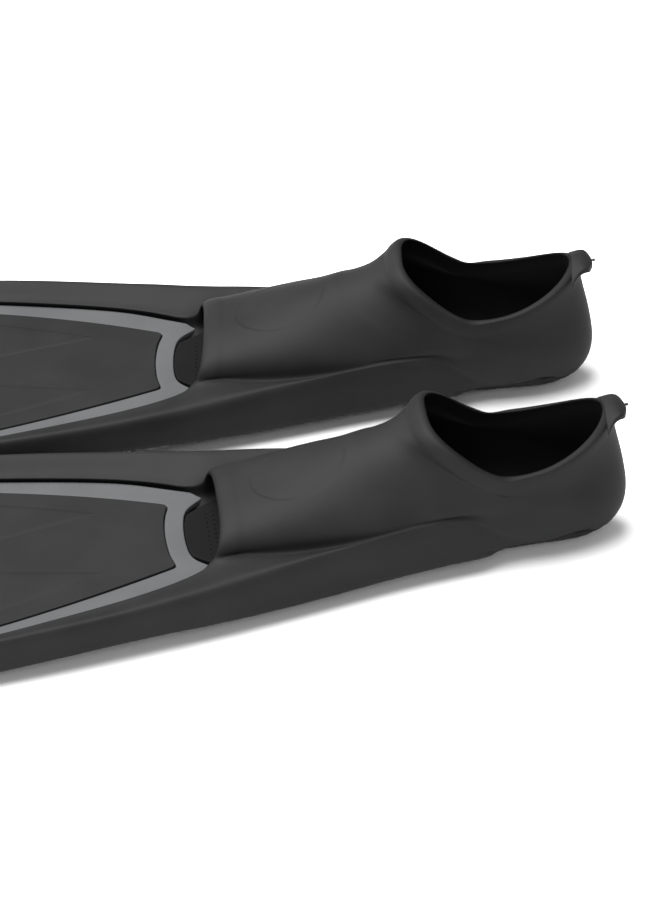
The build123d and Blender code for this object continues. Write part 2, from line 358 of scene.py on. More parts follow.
def make_piece(bm, name, fin):
    """An object of one fin, from a mesh in the fin's millimetres, which it remembers."""
    mesh = bpy.data.meshes.new(f"{fin}_{name}")
    bm.to_mesh(mesh)
    spot = mesh.attributes.new("fin_place", "FLOAT_VECTOR", "POINT")
    for k, v in enumerate(mesh.vertices):
        spot.data[k].vector = v.co
    mesh.transform(place_of[fin])
    for polygon in mesh.polygons:
        polygon.use_smooth = True
    piece = bpy.data.objects.new(f"{fin}_{name}", mesh)
    bpy.context.scene.collection.objects.link(piece)
    return piece


def pair_of(bm, name, rounded=True):
    """The same piece on both fins, by the fin's name."""
    open_edges = sum(not e.is_manifold for e in bm.edges)
    volume = bm.calc_volume(signed=True) * MM**3 * 1e6
    print(f"{name}: {len(bm.faces)} faces before rounding, {open_edges} open edges, {volume:.3f} cm3")
    pair = {fin: make_piece(bm, name, fin) for fin in FINS}
    for piece in pair.values():
        if rounded:
            rounder = piece.modifiers.new("round", "SUBSURF")
            rounder.levels = rounder.render_levels = ROUNDING
    return pair


def blend_over_toes(piece):
    """Bakes the piece's object transform into its mesh."""
    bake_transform(piece)


def stand_for(pair, body, node):
    """Rides a pair of pieces on a body of their fins, in place of one CAD node of each."""
    for fin, piece in pair.items():
        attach(piece, f"{fin}_{body}")
        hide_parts(f"{fin}_{node}")


# %% [markdown]
# ## The moulding: pocket, rails and collar in one skin
# The chain of rings goes down the outside from the collar to the toes and back up the inside, and
# `bridge_loops` closes the wall at the collar. A Solidify modifier would also give a wall, but not a
# thicker floor. The inner vertices carry a mark, so that painted shade can darken the rubber inside the
# pocket.

# %% The pocket's two skins
def pocket_skins(bm):
    """The outer rings from the collar to the toes, and the inner rings back to the collar."""
    inside_shade = bm.verts.layers.float.new("inside_shade")
    ring = list(bmesh.ops.create_circle(bm, segments=AROUND, radius=10)["verts"])
    for i, v in enumerate(ring):
        v.co = skin_point(RINGS[0], i)
    outer, inner = [ring], []
    for row in RINGS[1:]:
        ring = next_ring(bm, ring, [skin_point(row, i) for i in range(AROUND)])
        outer.append(ring)
    for row in reversed(RINGS):
        plain = row._replace(lift=0.0)
        ring = next_ring(bm, ring, [ring_point(plain, i, WALL) for i in range(AROUND)])
        inner.append(ring)
    # Marks the inner skin, which gets a painted shade in the rubber's colour.
    for v in (v for ring in inner for v in ring):
        v[inside_shade] = 1
    bmesh.ops.bridge_loops(bm, edges=ring_edges(bm, inner[-1]) + ring_edges(bm, outer[0]))
    print(len(outer), "outer rings and", len(inner), "inner rings")
    return outer, inner


# %% [markdown]
# ## The rails beyond the toes
# In front of the toes the pocket stops, and only the rail's section runs on. The faces between the two
# skins at the toe opening are its start, and `extrude_face_region` carries them from station to station
# up to the tip. A crease along the step above the deck keeps that edge crisp when the mesh is rounded.

# %% Extrude the rails to the tip
ONLY_RAIL = [257, 264.5, 273, 284, 298, 316, 338, 364, 392, 422, 454, 486, 516, 544, 568, 588, 604, 617,
             626, 630]
STEP_CREASE = 0.65
GRIP_IN, GRIP_UP = 0.9, 0.3
GRIP_TALL, GRIP_SHRINKS, GRIP_OVER = 5.0, 2.0, 350


def deck_edge(s, j):
    """The rail's inner face where it grips the deck, for vertex j."""
    half, top = along(DECK_HALF, s) + GRIP_IN, along(DECK_Z, s) + GRIP_UP
    tall = GRIP_TALL - GRIP_SHRINKS * ease((s - FLEX_S) / GRIP_OVER)
    return half, top - tall * (RAIL_LAST - j) / (RAIL_LAST - RAIL_FIRST)


def extrude_rail(bm, side, outer, inner, crease):
    """Runs the rail's section on from the toe opening to the blade's tip."""
    steps = range(RAIL_FIRST, RAIL_LAST + 1)
    spots = [j if side == 1 else AROUND - j for j in steps]
    fours = [(outer[a], outer[b], inner[b], inner[a]) for a, b in zip(spots, spots[1:])]
    faces = [next(f for f in four[0].link_faces if set(f.verts) == set(four)) for four in fours]
    section = [outer[i] for i in spots] + [inner[i] for i in reversed(spots)]
    for s in ONLY_RAIL:
        edges = dict.fromkeys(e for f in faces for e in f.edges)
        corners = dict.fromkeys(v for f in faces for v in f.verts)
        made = bmesh.ops.extrude_face_region(bm, geom=[*faces, *edges, *corners])["geom"]
        faces = [g for g in made if isinstance(g, bmesh.types.BMFace)]
        behind, section = section, extruded_from(section, made)
        top = len(steps) - 1
        bm.edges.get((behind[top], section[top]))[crease] = STEP_CREASE
        places = [rail_section(s, j) for j in steps] + [deck_edge(s, j) for j in reversed(steps)]
        for v, (half, height) in zip(section, places):
            v.co = (to_tip(s, half), side * half, height)


print("stations in front of the toes:", len(ONLY_RAIL))

# %% [markdown]
# ## The moulding put together
# Both skins and both rails are one closed mesh. Under the heel the faces are inset and pushed in, which
# makes the recess for the sole's pad. The moulding stands for five solids of the CAD model.

# %% The whole moulding, on both fins
SOLE_FIRST, SOLE_LAST, SOLE_SIDE = 9, 15, 6
SOLE_RIM, SOLE_SUNK = 1.0, 1.2
MOULDED_IN = ("foot_pocket", "inner_rail_root", "outer_rail_root", "inner_rail", "outer_rail")


def moulding_mesh():
    bm = bmesh.new()
    crease = bm.edges.layers.float.new("crease_edge")
    outer, inner = pocket_skins(bm)
    for side in (1, -1):
        extrude_rail(bm, side, outer[-1], inner[0], crease)
    bmesh.ops.recalc_face_normals(bm, faces=bm.faces)
    under = [next(f for f in outer[k][i].link_faces if outer[k + 1][i + 1] in f.verts)
             for k in range(SOLE_FIRST, SOLE_LAST) for i in range(-SOLE_SIDE, SOLE_SIDE)]
    bmesh.ops.inset_region(bm, faces=under, thickness=SOLE_RIM, depth=-SOLE_SUNK, use_boundary=True)
    return bm


mouldings = pair_of(moulding_mesh(), "rubber_moulding")
for fin, moulding in mouldings.items():
    blend_over_toes(moulding)
    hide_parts(*[f"{fin}_{node}" for node in MOULDED_IN])

# %% [markdown]
# ## Plates from one grid
# The blade, its grey frame and the footbed are all thin plates whose outline and surface change along the
# fin. Each starts as a flat `create_grid`, gets its thickness by `extrude_face_region`, and then every
# vertex is put at its place by its row and column. Rows close together near an edge keep it crisp. The
# normals are recalculated, and because a thin bent plate can mislead that, its volume has to be positive.

# %% A plate placed by rows and columns
EDGE_DROP = 0.5


def plate(rows, columns, top, bottom):
    """A closed plate: top(row, column) and bottom(row, column) give the places of its two skins."""
    bm = bmesh.new()
    row_steps, column_steps = len(rows) - 1, len(columns) - 1
    bmesh.ops.create_grid(bm, x_segments=row_steps, y_segments=column_steps, size=1)
    raised = bmesh.ops.extrude_face_region(bm, geom=bm.faces[:])["geom"]
    upper = {g for g in raised if isinstance(g, bmesh.types.BMVert)}
    for v in bm.verts:
        row = rows[round((v.co.x + 1) / 2 * row_steps)]
        column = columns[round((v.co.y + 1) / 2 * column_steps)]
        v.co = (top if v in upper else bottom)(row, column)
    bmesh.ops.recalc_face_normals(bm, faces=bm.faces)
    if bm.calc_volume(signed=True) < 0:
        bmesh.ops.reverse_faces(bm, faces=bm.faces)
    return bm


def both_ways(half):
    """A list that starts at zero, with its mirror image in front of it."""
    return [-v for v in reversed(half[1:])] + list(half)


print("both ways:", both_ways([0, 1, 2]))

# %% [markdown]
# ## The blade panel
# The panel is the stiff working part: a thin plastic plate, a little proud of its grey frame. On each
# half a raised wedge starts at a point near the foot: one side of it runs along the edge of the panel and
# the other in to the middle. The columns of the grid follow those two lines, so they stay sharp while the
# plate stays light.

# %% The panel's outline and its wedges
PANEL_HALF = [(270, 31.4), (300, 43.7), (350, 60.5), (400, 73), (500, 82), (630, 87)]
PANEL_ROWS = [0, 0.7, 1.8, 4, 8, 14, 22, 32, 41, 44, 48, 53, 60, 72, 88, 108, 132, 158, 184, 212, 242, 272,
              298, 318, 334, 346, 354, 358, 360, 360.8]
PANEL_COLUMNS = both_ways([0, 0.5, 1, 1.35, 2, 2.35, 2.7, 3, 3.65, 4, 5, 5.7, 6])
PANEL_STARTS = 269.6
PANEL_BACK, PANEL_BACK_BOW, PANEL_BACK_HALF = 273.4, 3.9, 29.5
PANEL_CORNER, CORNER_LENGTH = 2.6, 2.5
PANEL_RIM, BACK_FADES = 1.2, 26
BOW_POWER = 2.6
WEDGE_START = 41.0
WEDGE_FROM_EDGE, FULL_FROM_HALF, EDGE_CLOSES, EDGE_LEAST = 17.5, 50, 0.067, 6
WEDGE_FROM_MIDDLE, MIDDLE_CLOSES, MIDDLE_LEAST = 30.2, 0.23, 4.0
WEDGE_SIDE = 1.0


def panel_back(y):
    """The panel's bowed back edge, the one next to the toes."""
    return PANEL_BACK - PANEL_BACK_BOW * min(abs(y) / PANEL_BACK_HALF, 1.15) ** BOW_POWER


def panel_spot(row, column):
    """s and y of a place on the panel, with round corners and columns on the wedge's two sides."""
    s = PANEL_STARTS + row
    past = row - WEDGE_START
    half = along(PANEL_HALF, s) - PANEL_CORNER * max(1 - row / CORNER_LENGTH, 0) ** 2
    from_edge = WEDGE_FROM_EDGE * min(1, half / FULL_FROM_HALF) - EDGE_CLOSES * max(past, 0)
    outer_line = half - max(from_edge, EDGE_LEAST)
    inner_line = min(outer_line - 2 * WEDGE_SIDE, WEDGE_FROM_MIDDLE - MIDDLE_CLOSES * past)
    inner_line = max(inner_line, MIDDLE_LEAST)
    marks = (0, inner_line, inner_line + WEDGE_SIDE, outer_line - WEDGE_SIDE, outer_line,
             half - PANEL_RIM, half)
    k = min(int(abs(column)), 5)
    y = marks[k] + (marks[k + 1] - marks[k]) * (abs(column) - k)
    back = (panel_back(y) - PANEL_STARTS) * max(1 - row / BACK_FADES, 0) ** 2
    return to_tip(s + back, y), math.copysign(y, column)


print("the panel starts", PANEL_STARTS, "mm from the heel and its wedges", PANEL_STARTS + WEDGE_START, "mm")

# %% [markdown]
# ## The panel's two skins
# The upper skin stands proud of the deck and lifts again on the wedges, which rise over a short length
# and fade out before the tip. Its edge rows lie a little lower, and that rounds the edge.

# %% The panel's skins
PANEL_PROUD, PANEL_EDGE = 0.9, 0.35
WEDGE_HEIGHT, WEDGE_RISES, WEDGE_ENDS, WEDGE_FADES = 0.5, 10, 250, 80
WEDGE_COLUMNS = (1.9, 3.1)
PLATE_THICK, PLATE_THINS = 4.0, 1.5


def plate_thick(s):
    """The plate is thickest at the foot and thins towards the tip, so that it bends in an even curve."""
    return PLATE_THICK - PLATE_THINS * ease((s - FLEX_S) / (FIN_LENGTH - FLEX_S))


def panel_top(row, column):
    s, y = panel_spot(row, column)
    on_wedge = WEDGE_COLUMNS[0] < abs(column) < WEDGE_COLUMNS[1]
    full = ease((row - WEDGE_START) / WEDGE_RISES) * (1 - ease((row - WEDGE_ENDS) / WEDGE_FADES))
    raised = WEDGE_HEIGHT * full if on_wedge else 0
    edge = PANEL_EDGE if abs(column) == 6 or row in (PANEL_ROWS[0], PANEL_ROWS[-1]) else 0
    return s, y, along(DECK_Z, s) + PANEL_PROUD + raised - edge


def panel_bottom(row, column):
    s, y = panel_spot(row, column)
    return s, y, along(DECK_Z, s) - plate_thick(s)


panels = pair_of(plate(PANEL_ROWS, PANEL_COLUMNS, panel_top, panel_bottom), "panel")
for fin, panel in panels.items():
    blend_over_toes(panel)
    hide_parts(fin + "_blade_panel")

# %% [markdown]
# ## The grey insert
# A softer grey rubber lies round the panel: a cross piece in front of the toes, and an arm along each
# side that narrows to the tip. Three pieces would show joints where they meet, so one strip makes it,
# from the tip of one arm round to the tip of the other. Its inner edge follows the panel, and its outer
# edge the footbed and then the rail.

# %% The insert
INNER_EDGE = [(273.5, 0), (273.3, 6), (272.9, 12), (272, 20), (270.3, 26.5), (269.5, 29.5), (270.0, 31.4),
              (272.4, 32.9), (278, 35.0), (285, 38.0)]
OUTER_EDGE = [(261.9, 0), (261.8, 6), (261.4, 12), (260.6, 19), (258.4, 25.6), (252.6, 31.4), (245.6, 36.8),
              (252.0, 41.9), (262, 46.0), (272, 50.4)]
ARM_ROWS = [298, 312, 328, 350, 375, 400, 430, 460, 490, 520, 545, 570, 590, 604, 615, 622, 626]
INSERT_ROWS = both_ways(list(range(len(INNER_EDGE) + len(ARM_ROWS))))
INSERT_COLUMNS = [0, 0.07, 0.3, 0.7, 0.93, 1]
ARM_LAG, LAG_STARTS, LAG_ENDS = 10, 286, 346
UNDER_RAIL = 0.4
INSERT_EDGE, INSERT_UNDER = 0.3, 0.2


def insert_spot(row, column):
    """s and y on the strip: row counts round it from the middle, and column crosses it."""
    k, side = abs(row), math.copysign(1, row)
    if k < len(INNER_EDGE):
        inner, outer = Vector(INNER_EDGE[k]), Vector(OUTER_EDGE[k])
    else:
        s = ARM_ROWS[k - len(INNER_EDGE)]
        behind = s - ARM_LAG * (1 - ease((s - LAG_STARTS) / (LAG_ENDS - LAG_STARTS)))
        inner = Vector((s, along(PANEL_HALF, s)))
        outer = Vector((behind, along(DECK_HALF, behind) + UNDER_RAIL))
    spot = inner.lerp(outer, column)
    return to_tip(spot.x, spot.y), side * spot.y


def insert_top(row, column):
    s, y = insert_spot(row, column)
    edge = INSERT_EDGE if column == 0 else 0
    return s, y, along(DECK_Z, s) - edge


def insert_bottom(row, column):
    s, y = insert_spot(row, column)
    return s, y, along(DECK_Z, s) - plate_thick(s) + INSERT_UNDER


inserts = pair_of(plate(INSERT_ROWS, INSERT_COLUMNS, insert_top, insert_bottom), "grey_insert")
for fin, insert in inserts.items():
    blend_over_toes(insert)
    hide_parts(*[f"{fin}_{node}" for node in ("toe_insert", "inner_channel", "outer_channel")])

# %% [markdown]
# ## The footbed
# The foot lies on a separate soft layer. At the heel it is a bowl, and in front it comes out under the
# toe arch and ends in a round tongue against the grey insert. It is a plate too: its height is a curve
# along the fin, plus a rise to both sides that is high at the heel and gone at the toes.

# %% The footbed
FOOTBED_ROWS = [14, 16, 20, 30, 45, 65, 90, 120, 150, 180, 205, 225, 240, 250, 256, 260, 262, 263]
FOOTBED_COLUMNS = both_ways([0, 0.2, 0.4, 0.6, 0.75, 0.88, 0.96, 1])
FOOTBED_HALF = [(14, 14), (20, 22), (30, 27), (60, 30), (100, 33), (150, 37), (200, 37.5), (236, 38.0),
                (246, 36.8), (252, 32.4), (258, 27.2), (263, 21)]
FOOTBED_Z = [(14, 13.6), (30, 8.6), (60, 8.2), (90, 11), (120, 16), (160, 19.2), (220, 22.8), (250, 24.4),
             (263, 24.9)]
FOOTBED_RISE = [(14, 5), (35, 11), (60, 16), (90, 11), (130, 5), (200, 2.5), (245, 0.4), (263, 0.0)]
FOOTBED_THICK = 3.0
FOOTBED_SUNK = 0.5
TONGUE_FRONT, TONGUE_BOW, TONGUE_HALF, TONGUE_WIDEST = 261.9, 0.6, 12, 34
TONGUE_STARTS, TONGUE_REACH = 215, 48
BOWL_POWER = 2.4


def tongue_front(y):
    """How far forward the footbed reaches at y, along the insert's curved edge."""
    return TONGUE_FRONT - TONGUE_BOW * (min(abs(y), TONGUE_WIDEST) / TONGUE_HALF) ** BOW_POWER


def footbed_spot(row, column):
    half = along(FOOTBED_HALF, row)
    y = half * column
    front = tongue_front(y) - FOOTBED_ROWS[-1]
    s = row + front * ease((row - TONGUE_STARTS) / TONGUE_REACH)
    bowl = along(FOOTBED_RISE, row) * abs(column) ** BOWL_POWER
    return s, y, along(FOOTBED_Z, row) + bowl


def footbed_top(row, column):
    s, y, z = footbed_spot(row, column)
    edge = EDGE_DROP if row == FOOTBED_ROWS[-1] or abs(column) == 1 else 0
    return s, y, z - edge - FOOTBED_SUNK


def footbed_bottom(row, column):
    s, y, z = footbed_spot(row, column)
    return s, y, z - FOOTBED_THICK - FOOTBED_SUNK


footbeds = pair_of(plate(FOOTBED_ROWS, FOOTBED_COLUMNS, footbed_top, footbed_bottom), "foot_bed")
stand_for(footbeds, "foot", "footbed")

# %% [markdown]
# ## The nubs under the toes
# Rows of small nubs on the footbed keep bare toes from sliding. A bump in the material would look flat
# from the side, so each nub is a low ball, sunk in the footbed. They are many and tiny, so each has only
# a few dozen faces.

# %% The nubs
NUB_ROWS, NUBS_EACH_SIDE = 6, 5
NUBS_START, NUB_ROW_GAP, NUB_GAP = 226, 4.4, 4.6
NUB_RADIUS, NUB_FLATTEN, NUB_SUNK = 0.9, 0.7, 0.55


def nubs_mesh():
    """Low round grips on the footbed, in staggered rows under the toes."""
    bm = bmesh.new()
    for row in range(NUB_ROWS):
        for place in range(-NUBS_EACH_SIDE, NUBS_EACH_SIDE + 1):
            s = NUBS_START + NUB_ROW_GAP * row
            y = NUB_GAP * (place + 0.5 * (row % 2))
            _, _, z = footbed_spot(s, y / along(FOOTBED_HALF, s))
            spot = Matrix.Translation((s, y, z - NUB_SUNK)) @ Matrix.Diagonal((1, 1, NUB_FLATTEN, 1))
            bmesh.ops.create_icosphere(bm, subdivisions=2, radius=NUB_RADIUS, matrix=spot)
    return bm


nubs_of = pair_of(nubs_mesh(), "toe_nubs", rounded=False)
for fin, nubs in nubs_of.items():
    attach(nubs, fin + "_foot")

# %% [markdown]
# ## The heel tab
# A short tongue stands out behind the heel, for pulling the fin on and off. It grows out of the collar's
# rim, so its root is as thick as the rim and spreads a little to both sides.

# %% The tab
TAB_ROWS = [0, 0.1, 0.25, 0.42, 0.6, 0.76, 0.88, 0.96, 1]
TAB_COLUMNS = both_ways([0, 0.3, 0.58, 0.8, 0.94, 1])
TAB_ROOT_S, TAB_LENGTH, TAB_HALF = 12.0, 14.2, 12.6
TAB_FLARE, FLARE_FADES = 9.0, 1.6
TAB_END, TAB_HOOK = 0.42, 1.6
TAB_Z, TAB_ARCH, ARCH_SHARE, TAB_DROOP = 86.0, 1.9, 0.9, 2.6
TAB_WRAP, WRAP_POWER = 8.5, 2.2
TAB_RIM_THICK, TAB_SWELL, SWELLS_BY, TAB_THINS = 2.2, 1.8, 0.35, 0.7


def tab_spot(row, column):
    """s and y on the tongue, with a round end."""
    flare = TAB_FLARE * max(1 - FLARE_FADES * row, 0) ** 2
    rounding = math.sqrt(max(1 - max((row - TAB_END) / (1 - TAB_END), 0) ** BOW_POWER, 0.0))
    y = (TAB_HALF * (TAB_END + (1 - TAB_END) * rounding) + flare) * column
    s = TAB_ROOT_S - TAB_LENGTH * row + TAB_HOOK * column**2 * row
    return s, y


def tab_height(row, column):
    """A low arch that droops at its end and wraps down round the heel at its root."""
    arch = TAB_ARCH * math.sin(math.pi * row * ARCH_SHARE)
    wrap = TAB_WRAP * abs(column) ** WRAP_POWER * (1 - row) ** WRAP_POWER
    return TAB_Z + arch - TAB_DROOP * row**2 - wrap


def tab_top(row, column):
    s, y = tab_spot(row, column)
    edge = EDGE_DROP if abs(column) == 1 or row == 1 else 0
    return s, y, tab_height(row, column) - edge


def tab_bottom(row, column):
    s, y = tab_spot(row, column)
    thick = TAB_RIM_THICK + TAB_SWELL * ease(row / SWELLS_BY) - TAB_THINS * row
    edge = EDGE_DROP if abs(column) == 1 else 0
    return s, y, tab_height(row, column) - thick + edge


tabs = pair_of(plate(TAB_ROWS, TAB_COLUMNS, tab_top, tab_bottom), "tab")
for fin, tab in tabs.items():
    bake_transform(tab)
    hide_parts(fin + "_heel_tab")

# %% [markdown]
# ## The pin at the tab
# Behind the tab sticks out the end of a small black pin, which is what is left of the tag that a new pair
# hangs by. It is a turned shape, a thin neck and a blunt head. Four rings extruded from a small circle
# make it, and `holes_fill` closes both ends.

# %% The pin
PIN_PLACE = Vector((0.2, -4, 82.4))
PIN_SIDES, PIN_NECK, PIN_HEAD, PIN_END = 16, 0.62, 0.95, 0.6
PIN_RINGS = ((-2.3, PIN_NECK), (-2.7, PIN_HEAD), (-3.9, PIN_HEAD), (-4.2, PIN_END))


def pin_mesh():
    """A turned pin: a thin neck and a small blunt head, along the fin's length."""
    bm = bmesh.new()
    lying = Matrix.Translation(PIN_PLACE) @ Matrix.Rotation(math.radians(-90), 4, "Y")
    ring = list(bmesh.ops.create_circle(bm, segments=PIN_SIDES, radius=PIN_NECK, matrix=lying)["verts"])
    outwards = [(v.co - PIN_PLACE).normalized() for v in ring]
    for back, radius in PIN_RINGS:
        middle = PIN_PLACE + Vector((back, 0, 0))
        ring = next_ring(bm, ring, [middle + out * radius for out in outwards])
    bmesh.ops.holes_fill(bm, edges=[e for e in bm.edges if e.is_boundary], sides=0)
    bmesh.ops.recalc_face_normals(bm, faces=bm.faces)
    return bm


pins = pair_of(pin_mesh(), "pin")
stand_for(pins, "tab", "tag_pin")

# %% [markdown]
# ## The pad under the heel
# The fin stands on a pad of tougher rubber, let into a shallow recess under the heel. It follows the
# pocket's own skin: its rows are places between two of the rings and its columns are angles round them.
# Every other row is a little lower, and those bars are the tread.

# %% The sole
SOLE_ROWS = [9.03] + [9.25 + 0.25 * k for k in range(23)] + [14.97]
SOLE_COLUMNS = [-48.6, -47.2, -41, -32, -24, -16, -8, 0, 8, 16, 24, 32, 41, 47.2, 48.6]
SOLE_IN, SOLE_DEEP, SOLE_EDGE = 0.5, 1.9, 0.4
TREAD_BAR, TREAD_TO = 0.7, 40
FLOOR_GAP = 0.15


def skin_at(row, degrees, inset):
    """A place on the pocket's skin between two of its rings."""
    k = min(int(row), len(RINGS) - 2)
    between = Ring(*(a + (b - a) * (row - k) for a, b in zip(RINGS[k], RINGS[k + 1])))
    return ring_point(between, degrees / 360 * AROUND, inset)


def sole_outer(row, degrees):
    bar = TREAD_BAR if round(row * 4) % 2 and abs(degrees) < TREAD_TO else 0
    at_edge = abs(degrees) == SOLE_COLUMNS[-1] or row in (SOLE_ROWS[0], SOLE_ROWS[-1])
    edge = SOLE_EDGE if at_edge else 0
    spot = skin_at(row, degrees, SOLE_IN + edge - bar)
    return spot.x, spot.y, max(spot.z, FLOOR_GAP)


def sole_inner(row, degrees):
    return skin_at(row, degrees, SOLE_DEEP)


soles = pair_of(plate(SOLE_ROWS, SOLE_COLUMNS, sole_outer, sole_inner), "sole")
stand_for(soles, "foot", "sole_tread")

# %% [markdown]
# ## The blade's root under the foot
# The plate doesn't stop at the toes. It runs back under the foot as a narrowing stem that the rubber
# holds, and the stem's ribs show underneath. The ribs are columns of the plate that stand a millimetre
# lower than their neighbours.

# %% The stem
STEM_ROWS = [98, 99, 102, 110, 120, 135, 150, 165, 180, 195, 210, 225, 240, 255, 266, 271, 272]
STEM_COLUMNS = both_ways([0, 0.1, 0.16, 0.4, 0.5, 0.56, 0.75, 0.85, 0.97, 1])
STEM_RIBS = (0, 0.1, 0.5, 0.56)
STEM_HALF = [(98, 9), (110, 16), (135, 24), (180, 31), (220, 35), (250, 38.5), (272, 47.5)]
STEM_TOP = [(98, 8.0), (120, 11), (150, 13.4), (200, 15.6), (245, 18.6), (272, 21.6)]
STEM_THICK, STEM_THICKER, THICKER_FROM, THICKER_OVER = 2.6, 0.9, 240, 30
STEM_RIB, RIBS_START, RIBS_RISE, RIBS_END, RIBS_FADE = 1.0, 104, 14, 255, 12


def stem_top(row, column):
    return row, along(STEM_HALF, row) * column, along(STEM_TOP, row)


def stem_bottom(row, column):
    s, y, z = stem_top(row, column)
    rib = STEM_RIB if abs(column) in STEM_RIBS else 0
    rib *= ease((row - RIBS_START) / RIBS_RISE) * (1 - ease((row - RIBS_END) / RIBS_FADE))
    thick = STEM_THICK + STEM_THICKER * ease((row - THICKER_FROM) / THICKER_OVER)
    return s, y, z - thick - rib


stems = pair_of(plate(STEM_ROWS, STEM_COLUMNS, stem_top, stem_bottom), "blade_stem")
stand_for(stems, "foot", "blade_core")

# %% [markdown]
# ## Shared grain
# Moulded rubber and plastic have a very fine pebble and slow patches where the tone is a little uneven.
# Each material could have its own noise nodes. A node group holds them once instead, with its sizes as
# named inputs, and every finish places it with its own values.

# %% Shared grain
def grain_group():
    """A node group: fine pebble height and slow patches, at the scales it is given."""
    group = bpy.data.node_groups.new("moulded_grain", "ShaderNodeTree")
    for name, value in (("Pebble Size", 900.0), ("Patches Size", 30.0)):
        size = group.interface.new_socket(name, in_out="INPUT", socket_type="NodeSocketFloat")
        size.default_value = value
    for name in ("Pebble", "Patches"):
        group.interface.new_socket(name, in_out="OUTPUT", socket_type="NodeSocketFloat")
    nodes, links = group.nodes, group.links
    given, result = nodes.new("NodeGroupInput"), nodes.new("NodeGroupOutput")
    where = nodes.new("ShaderNodeTexCoord")
    for name, detail in (("Pebble", 3.0), ("Patches", 4.0)):
        noise = nodes.new("ShaderNodeTexNoise")
        noise.inputs["Detail"].default_value = detail
        links.new(where.outputs["Object"], noise.inputs["Vector"])
        links.new(given.outputs[name + " Size"], noise.inputs["Scale"])
        links.new(noise.outputs["Fac"], result.inputs[name])
    return group


grain = grain_group()
print("the grain gives", [s.name for s in grain.interface.items_tree if s.in_out == "OUTPUT"])

# %% [markdown]
# ## A moulded finish
# All the finishes are one recipe with other numbers: two tones mixed by the slow patches, a roughness
# that goes a little up and down with them, and the pebble as a low bump. What is the same all over, such
# as the specular level, is set on the shader's own socket.

# %% The recipe of a finish
ROUGH_SPREAD = 0.05
PATCH_LOW, PATCH_HIGH = 0.3, 0.7
PEBBLE_STRENGTH = 0.3


def new_range(nodes, side, low, high):
    """A Map Range node with one side, "From" or "To", set."""
    node = nodes.new("ShaderNodeMapRange")
    node.inputs[side + " Min"].default_value, node.inputs[side + " Max"].default_value = low, high
    return node


def moulded(name, deep, pale, rough, pebble_size, pebble_height, specular):
    """A moulded finish: two tones in slow patches, a roughness that goes with them, and a fine pebble."""
    paint = bpy.data.materials.new(name)
    paint.use_nodes = True
    nodes, links = paint.node_tree.nodes, paint.node_tree.links
    shader = nodes["Principled BSDF"]
    shader.inputs["Specular IOR Level"].default_value = specular
    surface = nodes.new("ShaderNodeGroup")
    surface.node_tree = grain
    surface.inputs["Pebble Size"].default_value = pebble_size
    tone = nodes.new("ShaderNodeMix")
    tone.data_type = "RGBA"
    tone.inputs["A"].default_value, tone.inputs["B"].default_value = (*deep, 1), (*pale, 1)
    spread = new_range(nodes, "From", PATCH_LOW, PATCH_HIGH)
    links.new(surface.outputs["Patches"], spread.inputs["Value"])
    links.new(spread.outputs["Result"], tone.inputs["Factor"])
    links.new(tone.outputs["Result"], shader.inputs["Base Color"])
    matt = new_range(nodes, "To", rough - ROUGH_SPREAD, rough + ROUGH_SPREAD)
    links.new(surface.outputs["Patches"], matt.inputs["Value"])
    links.new(matt.outputs["Result"], shader.inputs["Roughness"])
    bump = nodes.new("ShaderNodeBump")
    bump.inputs["Strength"].default_value = PEBBLE_STRENGTH
    bump.inputs["Distance"].default_value = pebble_height
    links.new(surface.outputs["Pebble"], bump.inputs["Height"])
    links.new(bump.outputs["Normal"], shader.inputs["Normal"])
    print(name, "has roughness", rough)
    return paint


# %% [markdown]
# ## The six finishes
# Nearly everything here is black, so the finish has to tell the pieces apart. The moulding is a matt
# black rubber with a pale bloom, the blade a darker plastic and the insert grey. The footbed is black
# rubber deepened to the darkest black as painted shade under the toe arch, the sole a little paler, and
# only the tiny pin has some gloss.

# %% The finishes
BLACK_RUBBER = dict(deep=(0.0088, 0.0088, 0.0089), pale=(0.0124, 0.0124, 0.0126), rough=0.62,
                    pebble_size=1500, pebble_height=0.00012, specular=0.12)
black_rubber = moulded("black_rubber", **BLACK_RUBBER)
tab_rubber = moulded("tab_rubber", **BLACK_RUBBER)
blade_plastic = moulded("blade_plastic", deep=(0.0074, 0.0074, 0.0075), pale=(0.0104, 0.0104, 0.0106),
                        rough=0.6, pebble_size=700, pebble_height=0.00010, specular=0.12)
grey_rubber = moulded("grey_rubber", deep=(0.052, 0.0535, 0.0555), pale=(0.063, 0.0645, 0.0665), rough=0.6,
                      pebble_size=1200, pebble_height=0.00010, specular=0.15)
# The footbed's and the nubs' black rubber, made much deeper as painted shade under the toe arch.
footbed_rubber = moulded("footbed_rubber", deep=(0.0026, 0.0026, 0.0027), pale=(0.0042, 0.0042, 0.0043),
                         rough=0.75, pebble_size=900, pebble_height=0.00015, specular=0.08)
sole_rubber = moulded("sole_rubber", deep=(0.0040, 0.0040, 0.0041), pale=(0.0068, 0.0068, 0.0069),
                      rough=0.7, pebble_size=900, pebble_height=0.00015, specular=0.12)
pin_plastic = moulded("pin_plastic", deep=(0.004, 0.004, 0.004), pale=(0.007, 0.007, 0.007), rough=0.35,
                      pebble_size=1500, pebble_height=0.00005, specular=0.3)

# %% [markdown]
# ## Painted shade inside the pocket
# Little light gets deep into the pocket, so its inner skin is painted a deeper black as shade. A second
# material would change at a hard edge. Instead the mark on the inner vertices is read as an attribute,
# which fades over one row of faces, and mixes in the painted shade.

# %% Paint shade inside the pocket
# The painted shade inside the pocket: a deeper black in place of shadow.
INSIDE_PAINTED_SHADE = (0.0012, 0.0012, 0.0012, 1)


